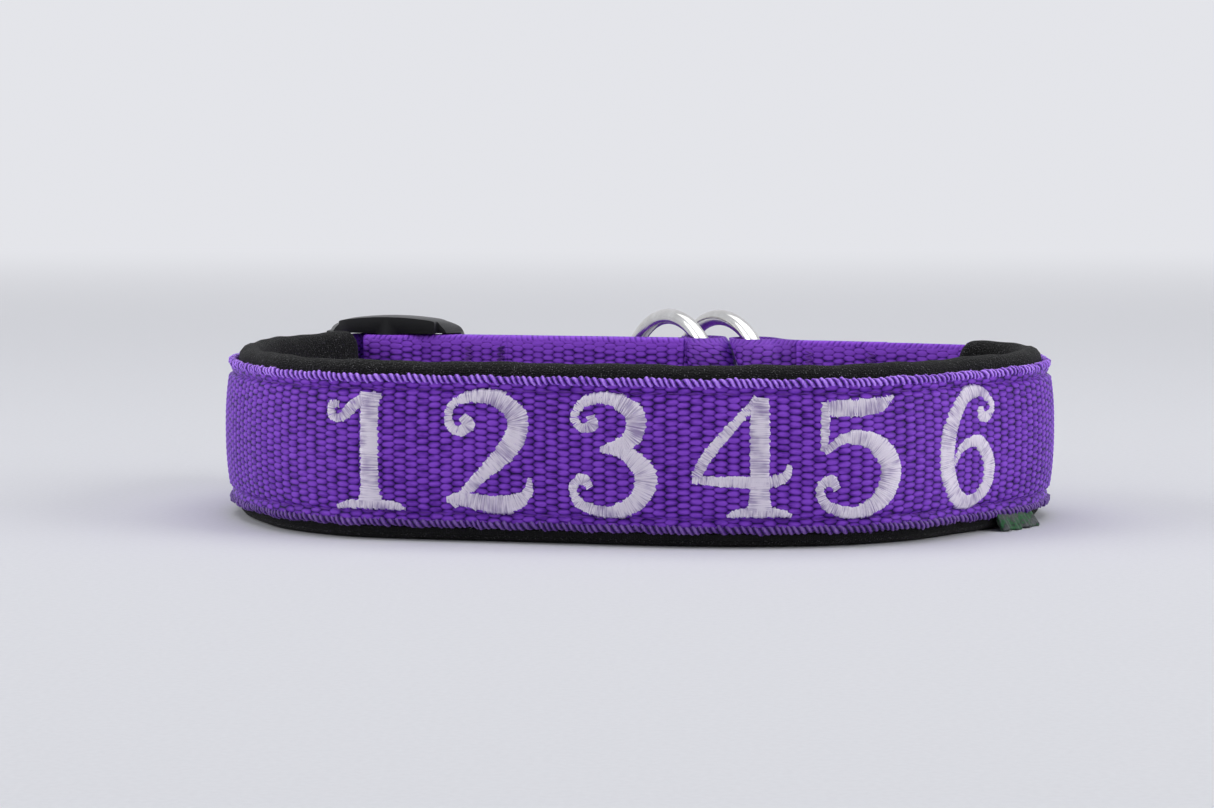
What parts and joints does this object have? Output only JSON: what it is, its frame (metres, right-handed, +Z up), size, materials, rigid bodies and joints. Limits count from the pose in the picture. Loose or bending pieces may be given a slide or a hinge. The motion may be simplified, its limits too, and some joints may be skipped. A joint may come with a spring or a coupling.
{
  "type": "martingale collar",
  "caption": "Padded webbing martingale collar with a strap slider, slip rings, a slip loop and a D ring for the lead.",
  "frame": {"origin": "middle of the whole outline in plan, on the surface that the collar stands on", "axes": "+Z up, across the webbing; -Y is the embroidered front; +Y is towards the lead; +X is the wearer's right-hand end seen from the front"},
  "size_m": [0.174, 0.1756, 0.0402],
  "materials": {
    "webbing": "woven, slight sheen",
    "padding_cover": "matt fine knit",
    "padding_foam": "matt closed-cell foam",
    "sewing_thread": "twisted thread",
    "embroidery_thread": "satin stitch, silky",
    "tab_cloth": "matt woven tape",
    "slider_plastic": "moulded, fine satin",
    "ring_metal": "polished"
  },
  "bodies": {
    "band": {"main_webbing": "webbing", "pad_cover": "padding_cover", "pad_foam": "padding_foam", "top_edge_stitch": "sewing_thread", "bottom_edge_stitch": "sewing_thread", "embroidery": "embroidery_thread", "side_tab": "tab_cloth", "left_strap": "webbing", "left_fold": "webbing", "tail_strap": "webbing", "right_strap": "webbing", "right_lap": "webbing", "right_fold": "webbing", "right_bar_tacks": "sewing_thread"},
    "slider": {"slider": "slider_plastic", "tail_loop": "webbing", "tail_bar_tack_near": "sewing_thread", "tail_bar_tack_far": "sewing_thread"},
    "left_ring": {"left_ring": "ring_metal"},
    "right_ring": {"right_ring": "ring_metal"},
    "slip_loop": {"slip_loop": "webbing", "loop_lap": "webbing", "loop_bar_tacks": "sewing_thread"},
    "leash_ring": {"leash_ring": "ring_metal"}
  },
  "joints": [
    {"name": "slider_run", "type": "slide", "parent": "band", "child": "slider", "axis": [0.981, -0.1942, 0], "range_m": [0, 0.025], "deforming": ["tail_strap"]},
    {"name": "left_ring_swing", "type": "hinge", "parent": "band", "child": "left_ring", "pos_m": [0.01733, 0.01086, 0.0202], "axis": [0, 0, 1], "range_deg": [-60, 0]},
    {"name": "right_ring_swing", "type": "hinge", "parent": "band", "child": "right_ring", "pos_m": [0.02883, 0.00686, 0.0202], "axis": [0, 0, 1], "range_deg": [-60, 0]},
    {"name": "slip_loop_turn", "type": "hinge", "parent": "left_ring", "child": "slip_loop", "pos_m": [-0.00255, 0.04147, 0.0202], "axis": [0, 0, 1], "range_deg": [0, 60]},
    {"name": "leash_ring_swing", "type": "hinge", "parent": "slip_loop", "child": "leash_ring", "pos_m": [0.01423, 0.07118, 0.01488], "axis": [0.0514, 0.1478, 0.9877], "range_deg": [-60, 60]}
  ],
  "couplings": [
    {"joint": "right_ring_swing", "follows": "left_ring_swing", "ratio": 1},
    {"joint": "slip_loop_turn", "follows": "left_ring_swing", "ratio": -1}
  ]
}
